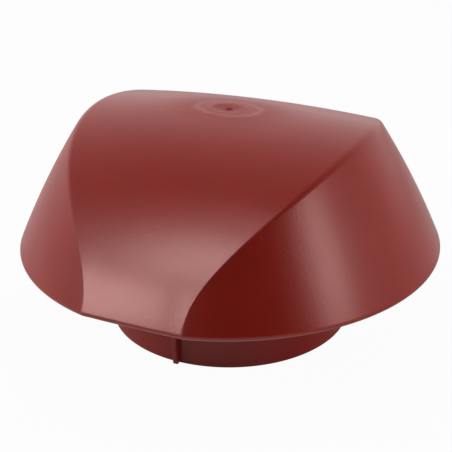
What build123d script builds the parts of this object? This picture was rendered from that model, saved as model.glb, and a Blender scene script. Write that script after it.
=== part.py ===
from build123d import *
import math
import os

# Ventilation cap for the top of a plastic vent pipe, in two mouldings: a vaulted
# hood, and the collar that slips over the pipe and carries the hood on three webs.
# The origin is the middle of the collar's lower edge. The ridge of the hood runs
# along X, and the curved fronts of the vault face -Y and +Y.

# The pipe that the cap is made for
pipe_radius = 55.0
pipe_wall = 3.2

# Collar
socket_clearance = 0.5
socket_depth = 46.0
collar_wall = 2.7
stop_lip_height = 2.5
stop_lip_round = 0.8
collar_edge_round = 0.6

# Hood: its side is a surface of revolution, slightly bowed outwards
hood_wall = 3.0
rim_height = 38.7
rim_radius = 100.7
crest_rise = 64.0
rim_round = 1.8
rim_foot_drop = 0.5
side_top_radius = 65.2
side_bow = 1.75

# Hood: its vault is a three-centre arch carried along a gently crowned ridge
arch_crown_radius = 111.0
arch_crown_angle = 31.0
arch_flank_radius = 99.0
ridge_crown_radius = 700.0
crease_round = 1.4
inner_crease_round = 1.0

# Injection gate at the crest: a shallow dish with a trimmed pip in it, and a low
# pad under the ceiling that keeps the wall as thick there
gate_dish_radius = 7.5
gate_dish_depth = 0.8
gate_pad_radius = 4.0
gate_pip_radius = 1.5
gate_pip_height = 0.7
gate_pip_round = 0.3

# Webs between collar and hood, and the guide ribs that hold their upper edges
web_count = 3
first_web_angle = -90.0
web_thickness = 2.0
web_proud = 2.8
web_foot_round = 1.7
web_flare_start = 8.0
web_flare_rise = 22.0
web_spread = 21.8
web_end_lean = 0.35
seat_gap = 0.3
guide_gap = 0.2
guide_thickness = 1.8
guide_depth = 8.0
guide_inset = 6.5

# Sizes worked out from the ones above
socket_radius = pipe_radius + socket_clearance
collar_radius = socket_radius + collar_wall
collar_top = socket_depth + stop_lip_height
web_reach = collar_radius + web_spread
guide_start = socket_radius + guide_inset
crest_height = rim_height + crest_rise
overrun = 5.0
root_overlap = 0.5

# Limits that tell a body's edges apart
same_radius = 0.01
least_crease_rise = 1.0


def side_arc():
    """Centre and radius, in the plane (radius, height), of the hood's side."""
    run = rim_radius - side_top_radius
    chord = math.hypot(run, crest_rise)
    radius = (chord ** 2 / 4 + side_bow ** 2) / (2 * side_bow)
    out_r = crest_rise / chord
    out_z = run / chord
    back = radius - side_bow
    centre_r = (rim_radius + side_top_radius) / 2 - out_r * back
    centre_z = rim_height + crest_rise / 2 - out_z * back
    return centre_r, centre_z, radius


def side_radius(z, inset):
    """Radius of the hood's side at a height, inset from its outer face."""
    centre_r, centre_z, radius = side_arc()
    return centre_r + math.sqrt((radius - inset) ** 2 - (z - centre_z) ** 2)


def edge_arc(big_centre, centre, edge_round):
    """A rounding between a big arc and the level line under it, with its two ends."""
    away = (centre - big_centre).normalized()
    between = (away + Vector(0, -1)).normalized()
    bottom = centre + Vector(0, -edge_round)
    side = centre + away * edge_round
    return ThreePointArc(bottom, centre + between * edge_round, side), bottom, side


def side_body(inset, low, edge_round=0.0):
    """The solid inside the hood's side, from a height up to above the crest."""
    high = crest_height + overrun
    foot = Vector(side_radius(low, inset), low)
    start = foot
    pieces = []
    if edge_round:
        centre_r, centre_z, _ = side_arc()
        centre = Vector(side_radius(low + edge_round, inset + edge_round), low + edge_round)
        rounding, foot, start = edge_arc(Vector(centre_r, centre_z), centre, edge_round)
        pieces.append(rounding)
    middle = (start.Y + high) / 2
    top = (side_radius(high, inset), high)
    pieces.append(ThreePointArc(start, (side_radius(middle, inset), middle), top))
    pieces.append(Polyline(top, (0, high), (0, low), foot))
    return revolve(Plane.YZ * make_face(pieces), axis=Axis.Z)


def arch_face(inset, low, edge_round):
    """Cross-section of the vault at its middle, a three-centre arch."""
    turn = math.radians(arch_crown_angle)
    crown_z = crest_height - arch_crown_radius
    shift = arch_crown_radius - arch_flank_radius
    flank_centre = Vector(shift * math.sin(turn), crown_z + shift * math.cos(turn))
    crown = arch_crown_radius - inset
    flank = arch_flank_radius - inset
    join = Vector(crown * math.sin(turn), crown_z + crown * math.cos(turn))
    rise = low + edge_round - flank_centre.Y
    reach = math.sqrt((flank - edge_round) ** 2 - rise ** 2)
    centre = flank_centre + Vector(reach, rise)
    rounding = []
    foot = end = centre
    if edge_round:
        arc, foot, end = edge_arc(flank_centre, centre, edge_round)
        rounding.append(arc)
    half_way = ((join - flank_centre).normalized() + (end - flank_centre).normalized()).normalized()
    flank_arc = ThreePointArc(join, flank_centre + half_way * flank, end)
    half = Curve() + [flank_arc] + rounding
    crown_arc = ThreePointArc((-join.X, join.Y), (0, crown_z + crown), join)
    base = Line((-foot.X, foot.Y), foot)
    return Plane.YZ * make_face([crown_arc, base, *half.edges(), *mirror(half, Plane.YZ).edges()])


def vault_body(inset, low, edge_round=0.0):
    """The solid under the vault: the arch carried along the crowned ridge."""
    swing = math.degrees(math.asin((rim_radius + overrun) / (low + ridge_crown_radius - crest_height)))
    ridge_axis = Axis((0, 0, crest_height - ridge_crown_radius), (0, 1, 0))
    start = arch_face(inset, low, edge_round).rotate(ridge_axis, -swing)
    return revolve(start, axis=ridge_axis, revolution_arc=2 * swing)


def hood_form(inset, low):
    """The hood's form with sharp edges, inset from its outer face."""
    return side_body(inset, low) & vault_body(inset, low - 2 * overrun)


def crease_edges(form, inset):
    """Edges where the vault cuts the side, which run from rim to rim."""
    found = []
    for edge in form.edges():
        middle = edge @ 0.5
        off_side = abs(math.hypot(middle.X, middle.Y) - side_radius(middle.Z, inset))
        if off_side < same_radius and edge.bounding_box().size.Z > least_crease_rise:
            found.append(edge)
    return found


def radial_plate(outline, thickness, offset):
    """One flat plate standing in a radial plane, set off sideways from it."""
    section = Plane.XZ * make_face(outline)
    return Pos(0, offset + thickness / 2, 0) * extrude(section, thickness)


def around(shape):
    """Copies of a shape at each web's angle."""
    step = 360.0 / web_count
    return [Rot(0, 0, first_web_angle + step * number) * shape for number in range(web_count)]


def web_plate():
    """Radial web: a low foot on the collar that flares out to meet the hood."""
    foot = collar_radius + web_proud
    root = (socket_radius + collar_radius) / 2
    flare_low = rim_height - web_flare_start
    flare_high = rim_height + web_flare_rise
    high = crest_height + overrun
    corner = Vector(foot - web_foot_round, web_foot_round)
    corner_middle = corner + Vector(1, -1).normalized() * web_foot_round
    outline = [
        Polyline(
            (web_reach, flare_high), (web_reach, high), (socket_radius, high),
            (socket_radius, collar_top - root_overlap), (root, collar_top - root_overlap),
            (root, 0), (corner.X, 0),
        ),
        ThreePointArc((corner.X, 0), corner_middle, (foot, corner.Y)),
        Line((foot, corner.Y), (foot, flare_low)),
        Spline(
            (foot, flare_low), (web_reach, flare_high),
            tangents=[(0, 1), (web_end_lean, 1)],
        ),
    ]
    return radial_plate(outline, web_thickness, 0)


def round_edges(body, radius):
    """The full and part circles of one radius among a body's edges."""
    return [edge for edge in body.edges().filter_by(GeomType.CIRCLE)
            if abs(edge.radius - radius) < same_radius]


def make_collar():
    """The socket ring, its stop lip and the three webs."""
    stop_radius = pipe_radius - pipe_wall
    outline = Polyline(
        (socket_radius, 0), (collar_radius, 0), (collar_radius, collar_top),
        (stop_radius, collar_top), (stop_radius, socket_depth),
        (socket_radius, socket_depth), (socket_radius, 0),
    )
    ring = revolve(Plane.XZ * make_face(outline), axis=Axis.Z)
    ring = fillet(round_edges(ring, stop_radius), stop_lip_round)
    ring = fillet(round_edges(ring, collar_radius), collar_edge_round)
    room = hood_form(hood_wall + seat_gap, -overrun)
    for plate in around(web_plate()):
        ring += plate & room
    return ring


def gate_dish():
    """The ball that cuts the shallow dish round the gate, as wide as it is at the crest."""
    ball = (gate_dish_radius ** 2 + gate_dish_depth ** 2) / (2 * gate_dish_depth)
    return Pos(0, 0, crest_height - gate_dish_depth + ball) * Sphere(ball)


def guide_ribs():
    """Pairs of low ribs under the hood, one each side of every web."""
    outline = Polyline(
        (guide_start, rim_height), (web_reach, rim_height),
        (web_reach, crest_height), (guide_start, crest_height),
        (guide_start, rim_height),
    )
    offset = (web_thickness + guide_thickness) / 2 + guide_gap
    rooted = hood_form(hood_wall - root_overlap, rim_height)
    clear = Pos(0, 0, -guide_depth) * hood_form(hood_wall, rim_height - overrun)
    band = rooted - clear
    ribs = []
    for side in (-1, 1):
        for plate in around(radial_plate(outline, guide_thickness, side * offset)):
            ribs.append(plate & band)
    return ribs


def make_hood():
    """The vaulted hood: outer form, cavity, guide ribs and gate mark."""
    outer = side_body(0, rim_height, rim_round) & vault_body(0, rim_height - rim_foot_drop, rim_round)
    outer = fillet(crease_edges(outer, 0), crease_round)
    cavity = hood_form(hood_wall, rim_height - overrun)
    cavity = fillet(crease_edges(cavity, hood_wall), inner_crease_round)
    hood = outer - cavity
    for rib in guide_ribs():
        hood += rib
    pad_rise = gate_dish_depth + root_overlap
    pad_floor = crest_height - hood_wall - gate_dish_depth
    hood += Pos(0, 0, pad_floor + pad_rise / 2) * Cone(gate_pad_radius, gate_dish_radius, pad_rise)
    hood -= gate_dish()
    pip_floor = crest_height - gate_dish_depth - root_overlap
    pip_rise = gate_pip_height + root_overlap
    pip = Pos(0, 0, pip_floor + pip_rise / 2) * Cylinder(gate_pip_radius, pip_rise)
    pip = fillet(pip.edges().sort_by(Axis.Z)[-1], gate_pip_round)
    return hood + pip


os.makedirs("parts", exist_ok=True)
export_step(make_collar(), "parts/collar.step")
export_step(make_hood(), "parts/hood.step")
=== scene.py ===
import math

import bmesh
import bpy
import numpy as np
from mathutils import Matrix, Vector


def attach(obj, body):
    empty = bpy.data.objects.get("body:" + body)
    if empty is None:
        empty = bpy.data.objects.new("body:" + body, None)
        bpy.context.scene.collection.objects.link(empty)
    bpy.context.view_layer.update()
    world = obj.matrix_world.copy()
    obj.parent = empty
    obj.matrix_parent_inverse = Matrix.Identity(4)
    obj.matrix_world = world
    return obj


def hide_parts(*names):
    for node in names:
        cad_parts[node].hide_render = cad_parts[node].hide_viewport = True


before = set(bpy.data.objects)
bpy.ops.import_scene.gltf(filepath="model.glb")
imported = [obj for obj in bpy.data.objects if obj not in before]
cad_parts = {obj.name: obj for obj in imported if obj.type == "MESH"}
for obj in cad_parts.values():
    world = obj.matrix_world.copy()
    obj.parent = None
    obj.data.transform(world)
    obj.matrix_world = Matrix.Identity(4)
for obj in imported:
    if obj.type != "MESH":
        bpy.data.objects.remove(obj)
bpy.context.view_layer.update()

bl_info = {
    "name": "Ventilation cap",
    "version": (1, 0, 0),
    "blender": (4, 5, 0),
    "location": "View3D > Sidebar > Ventilation cap",
    "description": "Builds a moulded plastic cap for a vent pipe, its materials and its stage",
    "category": "Object",
}

MM = 0.001
# Limits that keep a division away from nought
NEARLY_ONE = 0.99999
TINY = 1e-12
LEAST_SLOPE = 0.04


def mm(name, description, value, low=0.0, high=1000.0):
    """A length that a user may change, given in millimetres."""
    return bpy.props.FloatProperty(
        name=name, description=description, default=value * MM, min=low * MM,
        max=high * MM, unit="LENGTH", precision=5,
    )


def linear(code):
    """A colour in sRGB hex as linear red, green and blue."""
    parts = [int(code[place:place + 2], 16) / 255 for place in (1, 3, 5)]
    return [part / 12.92 if part <= 0.04045 else ((part + 0.055) / 1.055) ** 2.4 for part in parts]


def tint(name, description, code):
    """A colour that a user may change, given in sRGB hex."""
    return bpy.props.FloatVectorProperty(
        name=name, description=description, default=linear(code), size=3, min=0.0,
        max=1.0, subtype="COLOR",
    )


class HoodSizes(bpy.types.PropertyGroup):
    """Sizes of the hood, as in the construction but for creases, inner rim and sink marks."""

    wall: mm("Wall", "Thickness of the hood's wall", 3.0)
    rim_height: mm("Rim height", "Height of the rim over the collar's lower edge", 38.7)
    rim_radius: mm("Rim radius", "Radius of the side at the rim, before it is rounded", 100.7)
    crest_rise: mm("Crest rise", "Height of the crest over the rim", 64.0)
    side_top_radius: mm("Side top radius", "Radius of the side at the crest's height", 65.2)
    side_bow: mm("Side bow", "How far the side is bowed outwards", 1.75)
    rim_round: mm("Rim rounding", "Radius of the rim's outer edge", 1.8)
    rim_inner_round: mm("Rim inner rounding", "Radius of the rim's inner edge", 0.4)
    crown_radius: mm("Arch crown radius", "Radius of the vault's arch at its crown", 111.0)
    flank_radius: mm("Arch flank radius", "Radius of the vault's arch at its flanks", 99.0)
    crown_turn: bpy.props.FloatProperty(
        name="Arch crown angle", description="Half the angle that the crown's arc takes",
        default=math.radians(31.0), min=0.1, max=1.4, subtype="ANGLE",
    )
    ridge_radius: mm("Ridge radius", "Radius of the ridge's gentle crown", 700.0)
    crease_foot_round: mm("Crease rounding, foot", "Radius of the creases at the rim", 1.2)
    crease_top_round: mm("Crease rounding, top", "Radius of the creases at the ridge's ends", 5.2)
    inner_crease_round: mm("Inner crease rounding", "Radius of the creases inside", 1.0)
    sink_depth: mm("Sink depth", "Depth of the faint sink marks beside the creases' feet", 0.15)
    sink_size: mm("Sink size", "Spread of the sink marks", 4.0)
    sink_x: mm("Sink place, along", "Distance of the sink marks along the ridge", 19.0)
    sink_y: mm("Sink place, across", "Distance of the sink marks across the ridge", 91.5)


class GateSizes(bpy.types.PropertyGroup):
    """Sizes of the injection gate's mark at the crest."""

    dish_radius: mm("Dish radius", "Radius of the shallow dish round the gate", 7.5)
    dish_depth: mm("Dish depth", "Depth of that dish", 0.8)
    pip_radius: mm("Pip radius", "Radius of the trimmed stub in the dish", 1.5)
    pip_height: mm("Pip height", "Height of the stub over the dish's floor", 0.7)
    pip_round: mm("Pip rounding", "Radius of the stub's upper edge", 0.5)
    pad_radius: mm("Pad radius", "Radius of the pad under the ceiling", 4.0)
    ripple_height: mm("Flow mark height", "Height of the faint rings round the gate", 0.05)
    ripple_reach: mm("Flow mark reach", "Radius at which those rings fade out", 20.0)


class CollarSizes(bpy.types.PropertyGroup):
    """Sizes of the collar and its webs, as in the construction."""

    socket_radius: mm("Socket radius", "Radius of the socket for the pipe", 55.5)
    wall: mm("Wall", "Thickness of the socket's wall", 2.7)
    socket_depth: mm("Socket depth", "Height from the lower edge to the stop lip", 46.0)
    lip_height: mm("Stop lip height", "Height of the lip that stops the pipe", 2.5)
    lip_radius: mm("Stop lip radius", "Radius of the opening inside the lip", 51.8)
    web_thickness: mm("Web thickness", "Thickness of the three webs", 2.0)
    web_proud: mm("Web foot", "How far a web's foot stands out from the collar", 2.8)
    web_reach: mm("Web reach", "Radius at which a web ends under the hood", 80.0)
    flare_start: mm("Flare start", "Height below the rim at which a web flares out", 8.0)
    flare_rise: mm("Flare rise", "Height over the rim at which it is widest", 22.0)
    seat_gap: mm("Seat gap", "Gap between a web and the hood", 0.3)
    guide_gap: mm("Guide gap", "Gap between a web and its guide ribs", 0.2)
    guide_thickness: mm("Guide thickness", "Thickness of the guide ribs", 1.8)
    guide_depth: mm("Guide depth", "How far the guide ribs hang from the hood", 8.0)
    guide_start: mm("Guide start", "Radius at which the guide ribs begin", 62.0)
    edge_round: mm("Edge rounding", "Radius of the collar's edges", 0.6)


class PlasticLook(bpy.types.PropertyGroup):
    """Look of the moulded plastic."""

    hood_colour: tint("Hood colour", "Oxide red of the hood", "#901708")
    collar_colour: tint("Collar colour", "Oxide red of the collar", "#8d170a")
    sheen_tint: tint("Sheen tint", "Tint that the pigment gives the sheen", "#ffe7e2")
    # The gate's paler ring is painted sheen: the brighter reflection on its flow marks, put into the
    # pigment.
    ring_sheen_colour: tint("Gate blush colour", "Paler ring round the gate", "#b5817c")
    blush_reach: mm("Gate blush reach", "How far the paler ring reaches along the ridge", 16.5)
    roughness: bpy.props.FloatProperty(
        name="Roughness", description="Roughness of the satin surface", default=0.3,
        min=0.05, max=1.0, subtype="FACTOR",
    )


class StageLook(bpy.types.PropertyGroup):
    """Look of the stage."""

    floor_colour: tint("Floor colour", "Plain pale floor", "#c8c8c8")
    # The floor in the sheen is paler than the board itself: a painted reflection.
    sheen_colour: tint("Floor in the sheen", "Floor as the plastic's sheen shows it", "#d4d4d4")
    floor_size: mm("Floor size", "Width of the floor", 6000.0, 0.0, 20000.0)


SETTINGS = (
    ("cap_hood", HoodSizes),
    ("cap_gate", GateSizes),
    ("cap_collar", CollarSizes),
    ("cap_plastic", PlasticLook),
    ("cap_stage", StageLook),
)


def meet(first, second, radius):
    """Distance from the solid that two faces bound, and its normal, with the edge
    between them rounded by a ball of that radius. A face is distance and normal."""
    (near, facing), (other, other_facing) = first, second
    a, b = near + radius, other + radius
    cosine = np.clip((facing * other_facing).sum(-1), -1, NEARLY_ONE)
    square = 1 - cosine ** 2
    on_edge = (a > b * cosine) & (b > a * cosine) & (a + b > 0)
    along, across = (a - b * cosine) / square, (b - a * cosine) / square
    out = along[..., None] * facing + across[..., None] * other_facing
    reach = np.maximum(np.linalg.norm(out, axis=-1), TINY)
    plain = np.where((near > other)[..., None], facing, other_facing)
    distance = np.where(on_edge, reach - radius, np.maximum(near, other))
    return distance, np.where(on_edge[..., None], out / reach[..., None], plain)


def ease(value, low, high):
    """A smooth step from 0 at low to 1 at high."""
    share = np.clip((value - low) / (high - low), 0, 1)
    return share * share * (3 - 2 * share)


class HoodForm:
    """The hood's faces as distances and normals, and its profiles through the axis."""

    # The creases soften from this height over the rim to this depth under the crest.
    soft_over_rim = 10 * MM
    soft_under_crest = 4 * MM
    # A profile is a row of points over the plan, then one down the side unless the rim is
    # reached. The zone of the crease's rounding is a little wider than the rounding.
    plan_points = 1600
    side_points = 600
    plan_overrun = 5 * MM
    rim_reached = 0.2 * MM
    crease_spare = 0.05 * MM

    def __init__(self, sizes):
        self.sizes = sizes
        self.rim = sizes.rim_height
        self.crest = sizes.rim_height + sizes.crest_rise
        run = sizes.rim_radius - sizes.side_top_radius
        chord = math.hypot(run, sizes.crest_rise)
        self.side_arc = (chord ** 2 / 4 + sizes.side_bow ** 2) / (2 * sizes.side_bow)
        back = self.side_arc - sizes.side_bow
        middle_r = (sizes.rim_radius + sizes.side_top_radius) / 2
        self.side_r = middle_r - sizes.crest_rise / chord * back
        self.side_z = self.rim + sizes.crest_rise / 2 - run / chord * back
        self.crown_z = self.crest - sizes.crown_radius
        shift = sizes.crown_radius - sizes.flank_radius
        self.flank_y = shift * math.sin(sizes.crown_turn)
        self.flank_z = self.crown_z + shift * math.cos(sizes.crown_turn)
        self.ridge_z = self.crest - sizes.ridge_radius

    def side(self, r, z, angle):
        """The side, a surface of revolution."""
        out, up = r - self.side_r, z - self.side_z
        reach = np.hypot(out, up)
        normal = np.stack([out * np.cos(angle), out * np.sin(angle), up], -1)
        return reach - self.side_arc, normal / reach[..., None]

    def vault(self, r, z, angle):
        """The vault, a three-centre arch carried along a crowned ridge."""
        x, y = r * np.cos(angle), r * np.sin(angle)
        swing = np.hypot(x, z - self.ridge_z)
        height, across = self.ridge_z + swing, np.abs(y)
        flank = np.arctan2(across, height - self.crown_z) > self.sizes.crown_turn
        out = np.where(flank, across - self.flank_y, across)
        up = np.where(flank, height - self.flank_z, height - self.crown_z)
        reach = np.hypot(out, up)
        radius = np.where(flank, self.sizes.flank_radius, self.sizes.crown_radius)
        normal = np.stack([up * x / swing, out * np.sign(y), up * (z - self.ridge_z) / swing], -1)
        return reach - radius, normal / reach[..., None]

    def crease_round(self, z):
        """Rounding of the outer crease at a height: it softens towards the ridge."""
        low, high = self.sizes.crease_foot_round, self.sizes.crease_top_round
        start, end = self.rim + self.soft_over_rim, self.crest - self.soft_under_crest
        return low + (high - low) * ease(z, start, end)

    def sink(self, r, angle):
        """How far the outer face is sunk in beside the creases' feet."""
        sizes = self.sizes
        x, y = np.abs(r * np.cos(angle)), np.abs(r * np.sin(angle))
        off = (x - sizes.sink_x) ** 2 + (y - sizes.sink_y) ** 2
        return sizes.sink_depth * np.exp(-off / (2 * sizes.sink_size ** 2))

    def outer(self, r, z, angle):
        """The hood's outer face."""
        side, vault = self.side(r, z, angle), self.vault(r, z, angle)
        distance, normal = meet(side, vault, self.crease_round(z))
        return distance + self.sink(r, angle), normal

    def cavity(self, r, z, angle):
        """The face of the space under the hood."""
        wall = self.sizes.wall
        side, vault = self.side(r, z, angle), self.vault(r, z, angle)
        inner_side, inner_vault = (side[0] + wall, side[1]), (vault[0] + wall, vault[1])
        return meet(inner_side, inner_vault, self.sizes.inner_crease_round)

    def vault_height(self, r, angle, inset):
        """Height of the vault over a point of the plan."""
        x, across = r * np.cos(angle), np.abs(r * np.sin(angle))
        crown = self.sizes.crown_radius - inset
        flank = self.sizes.flank_radius - inset
        on_crown = self.crown_z + np.sqrt(np.maximum(crown ** 2 - across ** 2, 0))
        off_centre = across - self.flank_y
        on_flank = self.flank_z + np.sqrt(np.maximum(flank ** 2 - off_centre ** 2, 0))
        height = np.where(across > crown * math.sin(self.sizes.crown_turn), on_flank, on_crown)
        return self.ridge_z + np.sqrt((height - self.ridge_z) ** 2 - x ** 2)

    def side_height(self, r, inset):
        """Height of the side over a point of the plan."""
        return self.side_z + np.sqrt((self.side_arc - inset) ** 2 - (r - self.side_r) ** 2)

    def profile(self, angle, inset, margin):
        """Sharp profile at an angle, from the axis to the rim, as r, z and length,
        and the lengths at which the crease's rounding starts and ends."""
        r = np.linspace(0, self.sizes.rim_radius + self.plan_overrun, self.plan_points)
        z = self.vault_height(r, angle, inset)
        kept = (self.side(r, z, angle)[0] + inset < 0) & (z > self.rim)
        count = len(r) if kept.all() else int(np.argmin(kept))
        r, z = r[:count], z[:count]
        if z[-1] > self.rim + self.rim_reached:
            down = np.linspace(z[-1], self.rim, self.side_points)[1:]
            out = self.side_r + np.sqrt((self.side_arc - inset) ** 2 - (down - self.side_z) ** 2)
            r, z = np.append(r, out), np.append(z, down)
        length = np.append(0, np.cumsum(np.hypot(np.diff(r), np.diff(z))))
        if count == len(r):
            return r, z, length, length[-1], length[-1]
        side, vault = self.side(r, z, angle), self.vault(r, z, angle)
        cosine = (side[1] * vault[1]).sum(-1)
        setback = margin(z) * (1 - cosine) + self.crease_spare
        near = np.minimum(side[0], vault[0]) + inset > -setback
        first = int(np.argmax(near[:count])) if near[:count].any() else count
        below = len(r) - count - 1 if near[count:].all() else int(np.argmin(near[count:]))
        last = count + below
        return r, z, length, length[first], length[last]


def settle(face, r, z, angle, turns=12):
    """Moves points in their planes through the axis onto a face."""
    for _ in range(turns):
        distance, normal = face(r, z, angle)
        in_r = normal[..., 0] * np.cos(angle) + normal[..., 1] * np.sin(angle)
        in_z = normal[..., 2]
        slope = np.maximum(in_r ** 2 + in_z ** 2, LEAST_SLOPE)
        r, z = r - distance * in_r / slope, z - distance * in_z / slope
    return r, z


def halve(inside, low, high, turns=46):
    """Values between low and high at which a test stops holding, by halving."""
    for _ in range(turns):
        middle = (low + high) / 2
        held = inside(middle)
        low, high = np.where(held, middle, low), np.where(held, high, middle)
    return low


def rim_rows(body, level, angle, radius, reach, rows):
    """Rows round an edge between a face and the level rim, where a ball of that radius
    rolls. Its centre is looked for between two radii, the first inside the body."""
    down = np.broadcast_to([0.0, 0.0, -1.0], (len(angle), 3))
    height = np.full(len(angle), level + radius)
    start = [np.broadcast_to(end, len(angle)) for end in reach]
    centre = halve(lambda r: body(r, height, angle)[0] < -radius, *start)
    normal = body(centre, height, angle)[1]
    facing = np.arctan2(normal[:, 2], normal[:, 0] * np.cos(angle) + normal[:, 1] * np.sin(angle))
    way = 1 if reach[1] > reach[0] else -1
    facing = facing if way > 0 else np.where(facing > 0, facing, facing + 2 * math.pi)
    bottom = -math.pi / 2 if way > 0 else 3 * math.pi / 2
    found = []
    for share in np.linspace(0, 1, rows):
        turn = facing + share * (bottom - facing)

        def inside(t):
            r, z = centre + t * np.cos(turn), height + t * np.sin(turn)
            return meet(body(r, z, angle), (level - z, down), radius)[0] < 0

        t = halve(inside, np.zeros_like(centre), np.full_like(centre, 5 * radius))
        found.append((centre + t * np.cos(turn), height + t * np.sin(turn)))
    return found


class HoodMesh:
    """Rings of points from the crest over the rim to the ceiling's middle."""

    # Columns round the axis, fewer inside each of these radii
    full = 384
    fewer_columns = ((2.4 * MM, 48), (6 * MM, 96), (13 * MM, 192))
    # How the columns gather near the feet of the creases
    foot_pull = 1.6
    foot_spread = math.radians(8)
    foot_gap = 0.12 * MM
    angle_steps = 14401
    # Rows on the vault, the crease and the side, outside and inside, and round the rim
    outer_rows = (34, 10, 22)
    inner_rows = (26, 5, 14)
    lip_rows = 10
    edge_rows = 5
    # How far the last row of a face stays off the rim's rounding, and where that rounding
    # is looked for, as a radius and as a distance past the rim
    rim_spare = 0.35 * MM
    search_start = 50 * MM
    search_overrun = 3 * MM
    # The stub: rings on its top as shares of the flat, and round its foot as out and up
    pip_top = (0.45, 0.85)
    pip_foot = ((0.0, 0.2 * MM), (0.04 * MM, 0.09 * MM), (0.12 * MM, 0.03 * MM))
    # Rings in the dish and over its edge, in millimetres, then even ones on the flow marks
    dish_rings = (1.75, 2.1, 2.6, 3.2, 3.9, 4.6, 5.3, 6.0, 6.5, 6.9, 7.15, 7.35, 7.5, 7.65, 7.85, 8.15)
    ripple_start = 8.5
    ripple_step = 0.46
    # The flow marks: their spacing, how they wander as waves a turn, height and phase, how
    # far past the dish they begin and are full, and the share of their reach that is full
    ripple_gap = 3.4 * MM
    ripple_wobble = ((2, 0.9, 0.7), (3, 0.6, 2.1), (5, 0.35, 0.0))
    ripple_rise = (0.5 * MM, 3 * MM)
    ripple_full = 0.6
    dish_blend = 0.12 * MM
    # Rings on the pad and its slope under the ceiling, in millimetres
    pad_rings = (11.5, 9.5, 8.4, 7.8, 7.5, 7.2, 6.4, 5.2, 4.5, 4.2, 4.0, 3.7, 2.6, 1.4, 0.6)
    pad_blend = 0.2 * MM
    ceiling_start = 13.5 * MM

    def __init__(self, sizes, gate):
        self.sizes, self.gate = sizes, gate
        self.form = HoodForm(sizes)
        self.angles = self.column_angles()
        self.rings = []

    def column_angles(self):
        """Angles of the columns, closer together near the feet of the creases."""
        form = self.form
        below = form.rim - form.flank_z
        half = form.flank_y + math.sqrt(self.sizes.flank_radius ** 2 - below ** 2)
        foot = math.asin(half / self.sizes.rim_radius)
        dense = np.linspace(0, 2 * math.pi, self.angle_steps)
        weight = np.ones_like(dense)
        for place in (foot, math.pi - foot, math.pi + foot, 2 * math.pi - foot):
            weight += self.foot_pull * np.exp(-((dense - place) / self.foot_spread) ** 2)
        total = np.append(0, np.cumsum((weight[1:] + weight[:-1]) / 2))
        return np.interp(np.arange(self.full) / self.full, total / total[-1], dense)

    def add_ring(self, r, z, count=None):
        """Adds a ring of count points; r and z are numbers or one value a column."""
        count = count or self.full
        angle = self.angles[:: self.full // count]
        r = np.broadcast_to(r, self.full)[:: self.full // count]
        z = np.broadcast_to(z, self.full)[:: self.full // count]
        self.rings.append(np.stack([r * np.cos(angle), r * np.sin(angle), z], 1))

    def ring_count(self, r):
        """Fewer columns near the axis, so that the faces stay well shaped."""
        for within, count in self.fewer_columns:
            if r < within:
                return count
        return self.full

    def crest_height(self, r):
        """Height of the outer face near the crest, with the dish and the flow marks."""
        gate, angle = self.gate, self.angles
        vault = self.form.vault_height(r, angle, 0)
        ball = (gate.dish_radius ** 2 + gate.dish_depth ** 2) / (2 * gate.dish_depth)
        dish = self.form.crest - gate.dish_depth + ball - np.sqrt(ball ** 2 - r ** 2)
        blend = self.dish_blend
        gap = np.clip(0.5 + (dish - vault) / (2 * blend), 0, 1)
        height = dish * (1 - gap) + vault * gap - blend * gap * (1 - gap)
        start, full = self.ripple_rise
        inner = ease(r, gate.dish_radius + start, gate.dish_radius + full)
        fade = inner * (1 - ease(r, self.ripple_full * gate.ripple_reach, gate.ripple_reach))
        wobble = sum(high * np.sin(turns * angle + begin) for turns, high, begin in self.ripple_wobble)
        rings = np.sin(2 * math.pi * r / self.ripple_gap + wobble)
        return height - gate.ripple_height * fade * (0.5 + 0.5 * rings)

    def add_gate(self):
        """The stub, the dish round it and the flow marks, in rings round the crest."""
        gate = self.gate
        floor = self.form.crest - gate.dish_depth
        top = floor + gate.pip_height
        shoulder = gate.pip_radius - gate.pip_round
        count = self.ring_count(gate.pip_radius)
        self.add_ring(0, top, 1)
        for share in self.pip_top:
            self.add_ring(share * shoulder, top, count)
        for turn in np.radians([90, 60, 30, 0]):
            out = shoulder + gate.pip_round * math.cos(turn)
            self.add_ring(out, top - gate.pip_round * (1 - math.sin(turn)), count)
        for out, up in self.pip_foot:
            self.add_ring(gate.pip_radius + out, floor + up, count)
        end = gate.ripple_reach / MM + self.ripple_step / 2
        radii = [*self.dish_rings, *np.arange(self.ripple_start, end, self.ripple_step)]
        for r in radii:
            self.add_ring(r * MM, self.crest_height(r * MM), self.ring_count(r * MM))
        return radii[-1] * MM

    def add_pad(self):
        """The low pad under the ceiling behind the gate, in rings round the axis."""
        gate, wall = self.gate, self.sizes.wall
        flat = self.form.crest - wall - gate.dish_depth
        inner, outer = gate.pad_radius - self.pad_blend, gate.dish_radius + self.pad_blend
        for r in self.pad_rings:
            high = self.form.vault_height(r * MM, self.angles, wall)
            share = 1 - ease(r * MM, inner, outer)
            self.add_ring(r * MM, high + share * (flat - high), self.ring_count(r * MM))
        self.add_ring(0, flat, 1)

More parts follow.
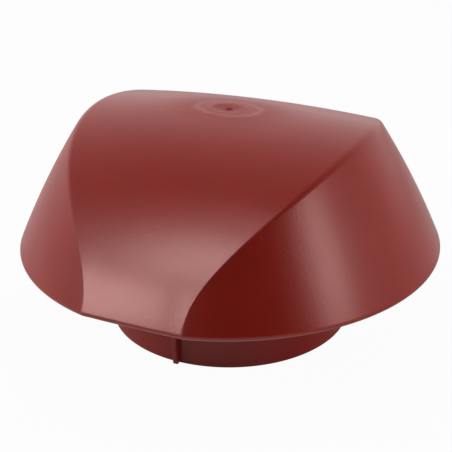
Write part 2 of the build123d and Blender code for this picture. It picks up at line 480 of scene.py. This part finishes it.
    def face_rows(self, inset, distance, margin, start_r, end_z, counts):
        """Rows of one face from near the axis to near the rim. Rows gather where the
        crease is rounded, and run on as a band over the rim where there is no crease."""
        tables = [self.form.profile(angle, inset, margin) for angle in self.angles]
        vault_rows, crease_rows, side_rows = counts
        starts, first, last, ends = [], [], [], []
        for (r, z, length, before, after), end in zip(tables, end_z):
            lip = np.interp(-end, -z, length)
            last_cap = lip - side_rows * self.foot_gap
            starts.append(np.interp(start_r, r, length))
            first.append(min(before, last_cap - crease_rows * self.foot_gap))
            last.append(min(after, last_cap))
            ends.append(lip)
        starts, first, last, ends = map(np.array, (starts, first, last, ends))
        places = [starts + (first - starts) * step / vault_rows for step in range(1, vault_rows)]
        places += [first + (last - first) * step / crease_rows for step in range(crease_rows)]
        places += [last + (ends - last) * step / side_rows for step in range(side_rows + 1)]
        rows = []
        for place in places:
            spots = [[np.interp(at, table[2], table[axis]) for at, table in zip(place, tables)]
                     for axis in (0, 1)]
            rows.append(settle(distance, *map(np.array, spots), self.angles))
        return rows

    def build(self):
        """All rings of the hood, then its faces."""
        sizes, form, angle = self.sizes, self.form, self.angles
        out, far_in = sizes.rim_radius + self.search_overrun, self.search_start
        lip = rim_rows(form.outer, form.rim, angle, sizes.rim_round, (far_in, out), self.lip_rows)

        def wall(r, z, at):
            distance, normal = form.cavity(r, z, at)
            return -distance, -normal

        def even(z):
            return np.full_like(z, sizes.inner_crease_round)

        edge = rim_rows(wall, form.rim, angle, sizes.rim_inner_round, (out, far_in), self.edge_rows)
        edge.reverse()
        reach = self.add_gate()
        outer = self.face_rows(0, form.outer, form.crease_round, reach,
                               lip[0][1] + self.rim_spare, self.outer_rows)
        inner = self.face_rows(sizes.wall, form.cavity, even, self.ceiling_start,
                               edge[-1][1] + self.rim_spare, self.inner_rows)
        for r, z in outer + lip + edge + inner[::-1]:
            self.add_ring(r, z)
        self.add_pad()
        return ring_mesh("hood_shell", self.rings)


def mesh_of(name, points, faces):
    """A new mesh of points and faces."""
    mesh = bpy.data.meshes.new(name)
    mesh.from_pydata(points, [], faces)
    mesh.update()
    return mesh


def placed(name, data):
    """A new object in the scene."""
    made = bpy.data.objects.new(name, data)
    bpy.context.scene.collection.objects.link(made)
    return made


def ring_mesh(name, rings):
    """A closed mesh of rings of points, each with as many points as the next or a
    fraction or multiple of them. A ring of one point is a pole."""
    points = np.concatenate(rings)
    offsets = np.append(0, np.cumsum([len(ring) for ring in rings])).tolist()
    faces = []
    for ring, after, at, then in zip(rings, rings[1:], offsets, offsets[1:]):
        few, many = sorted((len(ring), len(after)))
        ratio = 1 if few == 1 else many // few
        for step in range(many // ratio):
            near, far = step % few, (step + 1) % few
            fine = [(step * ratio + part) % many for part in range(ratio + 1)]
            if len(ring) < len(after):
                loop = [at + near, *[then + part for part in fine], at + far]
            else:
                loop = [at + part for part in fine[::-1]] + [then + near, then + far]
            faces.append(list(dict.fromkeys(loop)))
    return mesh_of(name, points.tolist(), faces)


def rounded_outline(corners, steps=5):
    """A closed outline from corners given as x, y and rounding radius, with a point
    on each side of a rounding that keeps the flat next to it flat when shaded."""
    points = []
    for number, (x, y, radius) in enumerate(corners):
        here = Vector((x, y))
        before = (Vector(corners[number - 1][:2]) - here).normalized()
        after = (Vector(corners[(number + 1) % len(corners)][:2]) - here).normalized()
        if radius <= 0:
            points.append(here)
            continue
        half = before.angle(after) / 2
        reach = radius / math.tan(half)
        centre = here + (before + after).normalized() * radius / math.sin(half)
        start, end = here + before * reach - centre, here + after * reach - centre
        spread = start.angle(end)
        for step in range(steps + 1):
            share = step / steps
            first = math.sin((1 - share) * spread) / math.sin(spread)
            second = math.sin(share * spread) / math.sin(spread)
            points.append(centre + start * first + end * second)
    return points


def turned_mesh(name, outline, count):
    """A closed ring turned about the axis from an outline of radius and height."""
    turns = [2 * math.pi * step / count for step in range(count)]
    points = [(p.x * math.cos(turn), p.x * math.sin(turn), p.y) for turn in turns for p in outline]
    size = len(outline)
    faces = []
    for column in range(count):
        here, there = column * size, (column + 1) % count * size
        for row in range(size):
            after = (row + 1) % size
            faces.append((here + row, there + row, there + after, here + after))
    return mesh_of(name, points, faces)


def plate_mesh(name, outline, thickness, offset, turn, edge_round):
    """A flat plate in a plane through the axis, set off sideways, its edges rounded."""
    shell = bmesh.new()
    corners = [shell.verts.new((p.x, offset - thickness / 2, p.y)) for p in outline]
    face = shell.faces.new(corners)
    pushed = bmesh.ops.extrude_face_region(shell, geom=[face])
    moved = [part for part in pushed["geom"] if isinstance(part, bmesh.types.BMVert)]
    bmesh.ops.translate(shell, verts=moved, vec=(0, thickness, 0))
    bmesh.ops.recalc_face_normals(shell, faces=shell.faces)
    edges = [edge for edge in shell.edges
             if abs(edge.verts[0].co.y - edge.verts[1].co.y) < thickness / 2]
    bmesh.ops.bevel(shell, geom=edges, offset=edge_round, segments=3, profile=0.5,
                    affect="EDGES", clamp_overlap=True)
    bmesh.ops.rotate(shell, verts=shell.verts, matrix=Matrix.Rotation(turn, 3, "Z"))
    mesh = bpy.data.meshes.new(name)
    shell.to_mesh(mesh)
    shell.free()
    return mesh


def joined(name, base, plates):
    """One closed body of a base mesh and the plates that are moulded in one with it."""
    body = placed(name, base)
    added = []
    for number, plate in enumerate(plates):
        extra = placed(f"{name}_plate_{number}", plate)
        step = body.modifiers.new(f"plate_{number}", "BOOLEAN")
        step.operation, step.solver, step.object = "UNION", "EXACT", extra
        added.append(extra)
    weigh = body.modifiers.new("flat faces", "WEIGHTED_NORMAL")
    weigh.keep_sharp = True
    depsgraph = bpy.context.evaluated_depsgraph_get()
    whole = bpy.data.meshes.new_from_object(body.evaluated_get(depsgraph))
    body.modifiers.clear()
    body.data = whole
    whole.name = name
    for extra in added:
        bpy.data.objects.remove(extra)
    return body


WEB_TURNS = [math.radians(turn) for turn in (-90.0, 30.0, 150.0)]
ROOT_OVERLAP = 0.5 * MM
GUIDE_EDGE_ROUND = 0.2 * MM
WEB_EDGE_ROUND = 0.3 * MM
# A web's foot: the rounding of its corner, the flat under it, the straight edge above it,
# and how far its lower edge has risen inside the socket's wall
WEB_FOOT_ROUND = 1.7 * MM
WEB_FOOT_FLAT = 2 * MM
WEB_FOOT_HEIGHT = 9 * MM
WEB_ROOT_RISE = 0.6 * MM
# The flare is a cubic curve, with its handles as shares of its run and its rise.
FLARE_RUN = 0.62
FLARE_RISE = (0.33, 0.55)
LIP_ROUND = 0.8 * MM
SOCKET_CORNER_ROUND = 0.3 * MM
SOCKET_COLUMNS = 240
# Points along a guide rib, a web's flare and a web's top
GUIDE_POINTS = 13
FLARE_POINTS = 14
TOP_POINTS = 15
SHARP_FROM = math.radians(40)


def ceiling(form, r, turn, offset, inset):
    """Height of the hood's form over a point beside a plane through the axis."""
    reach, angle = math.hypot(r, offset), turn + math.atan2(offset, r)
    side = form.side_height(reach, inset)
    return float(min(form.vault_height(reach, angle, inset), side))


def guide_plates(form, sizes):
    """The pairs of low ribs under the hood, one each side of every web."""
    plates = []
    set_off = (sizes.web_thickness + sizes.guide_thickness) / 2 + sizes.guide_gap
    spots = np.linspace(sizes.guide_start, sizes.web_reach, GUIDE_POINTS)
    for turn in WEB_TURNS:
        for offset in (-set_off, set_off):
            wall = form.sizes.wall
            top = [Vector((r, ceiling(form, r, turn, offset, wall - ROOT_OVERLAP))) for r in spots]
            low = [Vector((r, ceiling(form, r, turn, offset, wall) - sizes.guide_depth))
                   for r in spots[::-1]]
            plates.append(plate_mesh("guide", top + low, sizes.guide_thickness, offset, turn,
                                     GUIDE_EDGE_ROUND))
    return plates


def web_plates(form, sizes):
    """The webs: a foot on the socket that flares out and carries the hood."""
    outer = sizes.socket_radius + sizes.wall
    foot, root = outer + sizes.web_proud, sizes.socket_radius + sizes.wall / 2
    top = sizes.socket_depth + sizes.lip_height - ROOT_OVERLAP
    low, high = form.rim - sizes.flare_start, form.rim + sizes.flare_rise
    inset = form.sizes.wall + sizes.seat_gap
    plates = []
    for turn in WEB_TURNS:
        points = rounded_outline([
            (root, WEB_ROOT_RISE, 0), (foot - WEB_FOOT_FLAT, 0, 0),
            (foot, 0, WEB_FOOT_ROUND), (foot, WEB_FOOT_HEIGHT, 0)])
        run, rise = sizes.web_reach - foot, high - low
        for share in np.linspace(0, 1, FLARE_POINTS):
            back = 1 - share
            first, second = 3 * back ** 2 * share, 3 * back * share ** 2
            out = second * FLARE_RUN + share ** 3
            lift = first * FLARE_RISE[0] + second * FLARE_RISE[1] + share ** 3
            points.append(Vector((foot + run * out, low + rise * lift)))
        for r in np.linspace(sizes.web_reach, sizes.socket_radius, TOP_POINTS):
            points.append(Vector((r, ceiling(form, r, turn, 0, inset))))
        points += [Vector((sizes.socket_radius, top)), Vector((root, top))]
        plates.append(plate_mesh("web", points, sizes.web_thickness, 0, turn, WEB_EDGE_ROUND))
    return plates


def emptied(owner):
    """The node tree of a new material or world, with nothing in it."""
    owner.use_nodes = True
    owner.node_tree.nodes.clear()
    return owner.node_tree


def add_node(tree, kind, settings=None, inputs=None, stops=()):
    """Adds a node with its settings; an input is a value or the socket it comes from, and
    the stops are the places and greys of a ramp, its two ends first."""
    node = tree.nodes.new(kind)
    for name, value in (settings or {}).items():
        setattr(node, name, value)
    for name, value in (inputs or {}).items():
        if isinstance(value, bpy.types.NodeSocket):
            tree.links.new(value, node.inputs[name])
        else:
            node.inputs[name].default_value = value
    for place, _ in stops[2:]:
        node.color_ramp.elements.new(place)
    if stops:
        for element, (place, grey) in zip(node.color_ramp.elements, sorted(stops)):
            element.position = place
            element.color = (grey, grey, grey, 1)
    return node


# Widths of the plastic's patterns. The mould's grain is really about 0.2 mm wide, too fine
# to show, and is drawn 1 mm wide.
CLOUD_WIDTH = 15.4 * MM
WAVE_WIDTH = 4.545 * MM
GRAIN_WIDTH = 1 * MM
RAGGED_WIDTH = 5.88 * MM
CLOUD_SHADES = (0.86, 1.14)
WAVE_HEIGHT = 0.03 * MM
WAVE_STRENGTH = 0.3
GRAIN_HEIGHT = 0.035 * MM
# The gate's zone: how much shorter it is across the ridge than along it, a reach that is
# well beyond it, the roughness that it adds, and how ragged its ring is
BLUSH_ACROSS = 1.55
BEYOND_BLUSH = 9.0
BLUSH_ROUGHER = 0.4
RAGGED_SPREAD = 0.5
# Ramps over the reach, which these shares bring down to between 0 and 1
RING_SHARE = 0.65
DULL_SHARE = 0.4
RING_RAMP = (
    (0.0, 0.0), (1.0, 0.0), (0.42, 0.0), (0.52, 0.22), (0.66, 0.12), (0.76, 0.36), (0.88, 0.0),
)
DULL_RAMP = (
    (0.0, 1.0), (1.0, 0.0), (0.04, 1.0), (0.07, 0.6), (0.2, 0.55), (0.4, 0.4), (0.8, 0.08),
)


def gate_blush_and_sheen(tree, coordinates, colour, look):
    """Colour and dullness round the gate, both longer along the ridge than across it.
    The melt that first touches the cold mould there sets dull, which is real roughness; the paler ring
    in it is painted sheen."""
    place = coordinates.outputs["Object"]
    flat = add_node(tree, "ShaderNodeVectorMath", {"operation": "MULTIPLY"}, {
        0: place, 1: (1 / look.blush_reach, BLUSH_ACROSS / look.blush_reach, 0)})
    away = add_node(tree, "ShaderNodeVectorMath", {"operation": "LENGTH"}, {0: flat.outputs[0]})
    # Only the outer face has it: the ceiling faces down, and counts as far from the gate.
    facing = add_node(tree, "ShaderNodeSeparateXYZ", inputs={
        "Vector": coordinates.outputs["Normal"]})
    below = add_node(tree, "ShaderNodeMath", {"operation": "LESS_THAN"}, {
        0: facing.outputs["Z"], 1: 0.0})
    reach = add_node(tree, "ShaderNodeMath", {"operation": "MULTIPLY_ADD"}, {
        0: below.outputs[0], 1: BEYOND_BLUSH, 2: away.outputs["Value"]})
    # The ring's edge is ragged, in steps as wide as the waves that the melt's front leaves.
    ragged = add_node(tree, "ShaderNodeTexNoise", inputs={
        "Vector": place, "Scale": 1 / RAGGED_WIDTH, "Detail": 3.0, "Roughness": 0.65})
    torn = add_node(tree, "ShaderNodeMath", {"operation": "MULTIPLY_ADD"}, {
        0: ragged.outputs["Fac"], 1: RAGGED_SPREAD, 2: reach.outputs[0]})
    edge = add_node(tree, "ShaderNodeMath", {"operation": "MULTIPLY"}, {
        0: torn.outputs[0], 1: RING_SHARE})
    ring = add_node(tree, "ShaderNodeValToRGB", inputs={"Fac": edge.outputs[0]}, stops=RING_RAMP)
    # Painted sheen: the pigment is mixed towards a paler colour in the ring.
    pale = add_node(tree, "ShaderNodeMix", {"data_type": "RGBA"}, {
        "Factor": ring.outputs["Color"], "A": colour, "B": [*look.ring_sheen_colour, 1]})
    near = add_node(tree, "ShaderNodeMath", {"operation": "MULTIPLY"}, {
        0: reach.outputs[0], 1: DULL_SHARE})
    dull = add_node(tree, "ShaderNodeValToRGB", inputs={"Fac": near.outputs[0]}, stops=DULL_RAMP)
    return pale.outputs["Result"], dull.outputs["Color"]


def moulded_pvc(name, colour, look, gated=False):
    """Rigid PVC, injection moulded in a spark-eroded steel mould: a satin skin whose
    fine grain breaks up the reflections, over an opaque oxide-red pigment."""
    colour = list(colour)
    material = bpy.data.materials.new(name)
    tree = emptied(material)
    coordinates = add_node(tree, "ShaderNodeTexCoord")
    place = coordinates.outputs["Object"]
    # The pigment isn't quite evenly mixed, which the eye sees as a slight clouding.
    cloud = add_node(tree, "ShaderNodeTexNoise", inputs={
        "Vector": place, "Scale": 1 / CLOUD_WIDTH, "Detail": 3.0, "Roughness": 0.6})
    # The grain breaks up the sheen, and the waves in it come from how the skin shrank.
    grain = add_node(tree, "ShaderNodeTexNoise", inputs={
        "Vector": place, "Scale": 1 / GRAIN_WIDTH, "Detail": 1.0, "Roughness": 0.5})
    waves = add_node(tree, "ShaderNodeTexNoise", inputs={
        "Vector": place, "Scale": 1 / WAVE_WIDTH, "Detail": 3.0, "Roughness": 0.65})
    darker, lighter = ([min(part * share, 1) for part in colour] + [1] for share in CLOUD_SHADES)
    shade = add_node(tree, "ShaderNodeMix", {"data_type": "RGBA"}, {
        "Factor": cloud.outputs["Fac"], "A": darker, "B": lighter})
    pigment, skin = shade.outputs["Result"], look.roughness
    if gated:
        # Round the gate the pigment gets a ring of painted sheen, and the skin a real dullness.
        pigment, dull = gate_blush_and_sheen(tree, coordinates, pigment, look)
        skin = add_node(tree, "ShaderNodeMath", {"operation": "MULTIPLY_ADD"}, {
            0: dull, 1: BLUSH_ROUGHER, 2: look.roughness}).outputs[0]
    wavy = add_node(tree, "ShaderNodeBump", inputs={
        "Height": waves.outputs["Fac"], "Strength": WAVE_STRENGTH, "Distance": WAVE_HEIGHT})
    relief = add_node(tree, "ShaderNodeBump", inputs={
        "Height": grain.outputs["Fac"], "Strength": 1.0, "Distance": GRAIN_HEIGHT,
        "Normal": wavy.outputs["Normal"]})
    shader = add_node(tree, "ShaderNodeBsdfPrincipled", inputs={
        "Base Color": pigment, "Roughness": skin,
        "Metallic": 0.0, "IOR": 1.53, "Specular Tint": [*look.sheen_tint, 1],
        "Normal": relief.outputs["Normal"]})
    add_node(tree, "ShaderNodeOutputMaterial", inputs={"Surface": shader.outputs["BSDF"]})
    return material


def dress(piece, material, node):
    """Smooths a new piece, gives it its material and puts it in its CAD node's place."""
    piece.data.shade_smooth()
    piece.data.set_sharp_from_angle(angle=SHARP_FROM)
    piece.data.materials.clear()
    piece.data.materials.append(material)
    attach(piece, "root")
    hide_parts(node)


class CAP_OT_hood(bpy.types.Operator):
    """Builds the vaulted hood with its gate mark, pad and guide ribs"""

    bl_idname = "cap.hood"
    bl_label = "Build the hood"

    def execute(self, context):
        scene = context.scene
        shell = HoodMesh(scene.cap_hood, scene.cap_gate)
        mesh = shell.build()
        hood = joined("vaulted_hood", mesh, guide_plates(shell.form, scene.cap_collar))
        look = scene.cap_plastic
        satin = moulded_pvc("oxide red PVC, moulded satin", look.hood_colour, look, gated=True)
        dress(hood, satin, "hood")
        return {"FINISHED"}


class CAP_OT_collar(bpy.types.Operator):
    """Builds the collar with its stop lip and its three webs"""

    bl_idname = "cap.collar"
    bl_label = "Build the collar"

    def execute(self, context):
        scene = context.scene
        sizes = scene.cap_collar
        outer, bore = sizes.socket_radius + sizes.wall, sizes.socket_radius
        top, edge = sizes.socket_depth + sizes.lip_height, sizes.edge_round
        outline = rounded_outline([
            (bore, 0, edge), (outer, 0, edge), (outer, top, edge),
            (sizes.lip_radius, top, LIP_ROUND),
            (sizes.lip_radius, sizes.socket_depth, LIP_ROUND),
            (bore, sizes.socket_depth, SOCKET_CORNER_ROUND)])
        ring = turned_mesh("socket_ring", outline, SOCKET_COLUMNS)
        collar = joined("socket_collar", ring, web_plates(HoodForm(scene.cap_hood), sizes))
        look = scene.cap_plastic
        satin = moulded_pvc("oxide red PVC, moulded satin, collar", look.collar_colour, look)
        dress(collar, satin, "collar")
        return {"FINISHED"}


# Lamps: name, direction and height in degrees, width and height, radiance, and whether
# it is seen in the sheen or only lights the surface, as light thrown back by a wall does
LAMPS = (
    ("left_softbox_low", 240, 17, 0.42, 0.54, 10.4, True),
    ("left_softbox_middle", 244.5, 46, 0.36, 0.58, 8.7, True),
    ("left_softbox_top", 242, 68, 0.42, 0.42, 2.6, True),
    ("right_softbox", 348, 21, 0.37, 0.66, 5.6, True),
    ("left_fill", 200, 18, 0.80, 0.60, 6.9, False),
    ("right_fill", 6, 18, 0.80, 0.60, 4.6, False),
    ("ceiling_fill", 100, 70, 0.80, 0.60, 2.3, False),
)
# The room is bright behind the cap and dark on the side that the camera stands on.
BRIGHT_SIDE = 112
ROOM_SIDES = (
    (0.0, 0.02), (1.0, 1.02), (0.12, 0.02), (0.235, 0.12), (0.313, 0.26), (0.422, 0.48),
    (0.483, 0.49), (0.587, 0.55), (0.695, 0.78), (0.8, 0.92), (0.9, 1.0),
)
ROOM_CEILING = ((0.0, 1.0), (1.0, 0.44), (0.62, 1.0))
LAMP_AIM = Vector((0, 0, 70 * MM))
LAMP_AWAY = 1300 * MM
# The floor glows in the sheen with painted light: dim where it paints the hood's shadow and bright
# beyond
# it, in front: that direction in degrees, and how far out and how bright either is.
FRONT_SIDE = 280
SHADED_FLOOR = (40 * MM, 0.06)
LIT_FLOOR = (120 * MM, 0.85)
# How much of the floor the camera sees as plain white: the rest keeps the cap's shadow.
FLOOR_WHITE = 0.96
# The camera: its turn from the front, rise and roll in degrees, what it looks at, its
# distance from that, its shift to the side and up, and its lens in pixels of the picture
CAMERA_TURNS = (24.68, 24.785, -0.622)
CAMERA_AIM = Vector((0, 0, 39.5 * MM))
CAMERA_AWAY = 458.7 * MM
CAMERA_SHIFT = (-1.825 * MM, 3.197 * MM)
CAMERA_LENS = 946.0
PICTURE_WIDTH = 452
SENSOR_WIDTH = 36.0


def towards(turn, rise):
    """The level turn from the X axis and the rise, in radians, as a direction."""
    level = math.cos(rise)
    return Vector((math.cos(turn) * level, math.sin(turn) * level, math.sin(rise)))


class CAP_OT_stage(bpy.types.Operator):
    """Sets up the pale floor, the soft lamps, the surroundings and the camera"""

    bl_idname = "cap.stage"
    bl_label = "Set the stage"

    def execute(self, context):
        self.lay_floor(context.scene.cap_stage)
        self.light_room()
        self.hang_lamps()
        self.place_camera()
        context.scene.view_settings.view_transform = "Standard"
        return {"FINISHED"}

    def lay_floor(self, look):
        """A plain board of matt white, which the camera sees as a pale ground. In the sheen it glows
        with painted light, dim where it paints the hood's shadow.
        """
        half = look.floor_size / 2
        corners = [(-half, -half, 0), (half, -half, 0), (half, half, 0), (-half, half, 0)]
        floor = placed("pale_floor", mesh_of("pale_floor", corners, [(0, 1, 2, 3)]))
        material = bpy.data.materials.new("matt white board")
        tree = emptied(material)
        rays = add_node(tree, "ShaderNodeLightPath")
        # Glossy rays see the paler colour, a painted reflection of the floor.
        shade = add_node(tree, "ShaderNodeMix", {"data_type": "RGBA"}, {
            "Factor": rays.outputs["Is Glossy Ray"],
            "A": [*look.floor_colour, 1], "B": [*look.sheen_colour, 1]})
        board = add_node(tree, "ShaderNodeBsdfDiffuse", inputs={"Color": shade.outputs["Result"]})
        white = add_node(tree, "ShaderNodeEmission", inputs={"Color": (1, 1, 1, 1), "Strength": 1.0})
        place = add_node(tree, "ShaderNodeTexCoord").outputs["Object"]
        # Painted light and shadow for the sheen: the floor glows more the further in front of the cap
        # it lies.
        ahead = add_node(tree, "ShaderNodeVectorMath", {"operation": "DOT_PRODUCT"}, {
            0: place, 1: towards(math.radians(FRONT_SIDE), 0)})
        (near, dim), (far, bright) = SHADED_FLOOR, LIT_FLOOR
        painted_floor_light = add_node(tree, "ShaderNodeMapRange", inputs={
            "Value": ahead.outputs["Value"], "From Min": near, "From Max": far,
            "To Min": dim, "To Max": bright})
        sheen = add_node(tree, "ShaderNodeMath", {"operation": "MULTIPLY"}, {
            0: rays.outputs["Is Glossy Ray"], 1: painted_floor_light.outputs["Result"]})
        seen = add_node(tree, "ShaderNodeMath", {"operation": "MULTIPLY_ADD"}, {
            0: rays.outputs["Is Camera Ray"], 1: FLOOR_WHITE, 2: sheen.outputs[0]})
        mixed = add_node(tree, "ShaderNodeMixShader", inputs={
            0: seen.outputs[0], 1: board.outputs[0], 2: white.outputs[0]})
        add_node(tree, "ShaderNodeOutputMaterial", inputs={"Surface": mixed.outputs[0]})
        floor.data.materials.append(material)

    def hang_lamps(self):
        """Soft lamps all round the cap, each turned to it."""
        for name, turn, rise, width, height, radiance, in_sheen in LAMPS:
            way = towards(math.radians(turn), math.radians(rise))
            lamp = bpy.data.lights.new(name, "AREA")
            lamp.shape, lamp.size, lamp.size_y = "RECTANGLE", width, height
            lamp.energy = radiance * math.pi * width * height
            holder = placed(name, lamp)
            holder.location = LAMP_AIM + way * LAMP_AWAY
            holder.rotation_euler = (-way).to_track_quat("-Z", "Y").to_euler()
            holder.visible_glossy, holder.visible_diffuse = in_sheen, not in_sheen

    def light_room(self):
        """The surroundings, which the camera sees as plain white."""
        world = bpy.data.worlds.new("soft room")
        tree = emptied(world)
        way = add_node(tree, "ShaderNodeTexCoord").outputs["Generated"]
        # The place across the room, brought to between 0 and 1 for its ramp
        half_way = 0.5 * towards(math.radians(BRIGHT_SIDE), 0)
        across = add_node(tree, "ShaderNodeVectorMath", {"operation": "DOT_PRODUCT"}, {
            0: way, 1: half_way})
        place = add_node(tree, "ShaderNodeMath", {"operation": "ADD"}, {
            0: across.outputs["Value"], 1: 0.5})
        side = add_node(tree, "ShaderNodeValToRGB", inputs={"Fac": place.outputs[0]}, stops=ROOM_SIDES)
        upward = add_node(tree, "ShaderNodeSeparateXYZ", inputs={"Vector": way})
        overhead = add_node(tree, "ShaderNodeValToRGB", inputs={"Fac": upward.outputs["Z"]},
                            stops=ROOM_CEILING)
        level = add_node(tree, "ShaderNodeMath", {"operation": "MULTIPLY"}, {
            0: side.outputs["Color"], 1: overhead.outputs["Color"]})
        rays = add_node(tree, "ShaderNodeLightPath")
        around = add_node(tree, "ShaderNodeBackground", inputs={
            "Color": (1, 1, 1, 1), "Strength": level.outputs[0]})
        white = add_node(tree, "ShaderNodeBackground", inputs={"Color": (1, 1, 1, 1), "Strength": 1.0})
        seen = add_node(tree, "ShaderNodeMixShader", inputs={
            0: rays.outputs["Is Camera Ray"], 1: around.outputs[0], 2: white.outputs[0]})
        add_node(tree, "ShaderNodeOutputWorld", inputs={"Surface": seen.outputs[0]})
        bpy.context.scene.world = world

    def place_camera(self):
        """The camera, where the photograph was taken from."""
        turn, rise, roll = map(math.radians, CAMERA_TURNS)
        back = towards(turn - math.pi / 2, rise)
        right = towards(turn, 0)
        up = back.cross(right)
        aside, upward = CAMERA_SHIFT
        spot = CAMERA_AIM + back * CAMERA_AWAY + right * aside + up * upward
        across = right * math.cos(roll) + up * math.sin(roll)
        upright = up * math.cos(roll) - right * math.sin(roll)
        data = bpy.data.cameras.new("camera")
        data.sensor_width = SENSOR_WIDTH
        data.lens = CAMERA_LENS / PICTURE_WIDTH * SENSOR_WIDTH
        data.clip_start = 10 * MM
        camera = placed("camera", data)
        camera.matrix_world = Matrix((
            (across.x, upright.x, back.x, spot.x), (across.y, upright.y, back.y, spot.y),
            (across.z, upright.z, back.z, spot.z), (0, 0, 0, 1)))
        bpy.context.scene.camera = camera


class CAP_PT_panel(bpy.types.Panel):
    """The cap's builders and their settings in the sidebar"""

    bl_label = "Ventilation cap"
    bl_idname = "CAP_PT_panel"
    bl_space_type = "VIEW_3D"
    bl_region_type = "UI"
    bl_category = "Ventilation cap"

    def draw(self, context):
        """Lists the builders, then each group of settings in a box."""
        layout = self.layout
        for step in STEPS:
            layout.operator(step.bl_idname)
        for name, group in SETTINGS:
            box = layout.box()
            box.label(text=group.__doc__)
            for prop in group.__annotations__:
                box.prop(getattr(context.scene, name), prop)


STEPS = (CAP_OT_stage, CAP_OT_hood, CAP_OT_collar)


def register():
    """Registers the settings, the builders and the panel."""
    for _, group in SETTINGS:
        bpy.utils.register_class(group)
    for step in (*STEPS, CAP_PT_panel):
        bpy.utils.register_class(step)
    for name, group in SETTINGS:
        setattr(bpy.types.Scene, name, bpy.props.PointerProperty(type=group))


def unregister():
    """Takes them all away again."""
    for name, _ in SETTINGS:
        delattr(bpy.types.Scene, name)
    for step in (CAP_PT_panel, *reversed(STEPS)):
        bpy.utils.unregister_class(step)
    for _, group in reversed(SETTINGS):
        bpy.utils.unregister_class(group)


def main():
    """Builds the stage and both pieces."""
    register()
    for step in (bpy.ops.cap.stage, bpy.ops.cap.hood, bpy.ops.cap.collar):
        step()


if __name__ == "__main__":
    main()
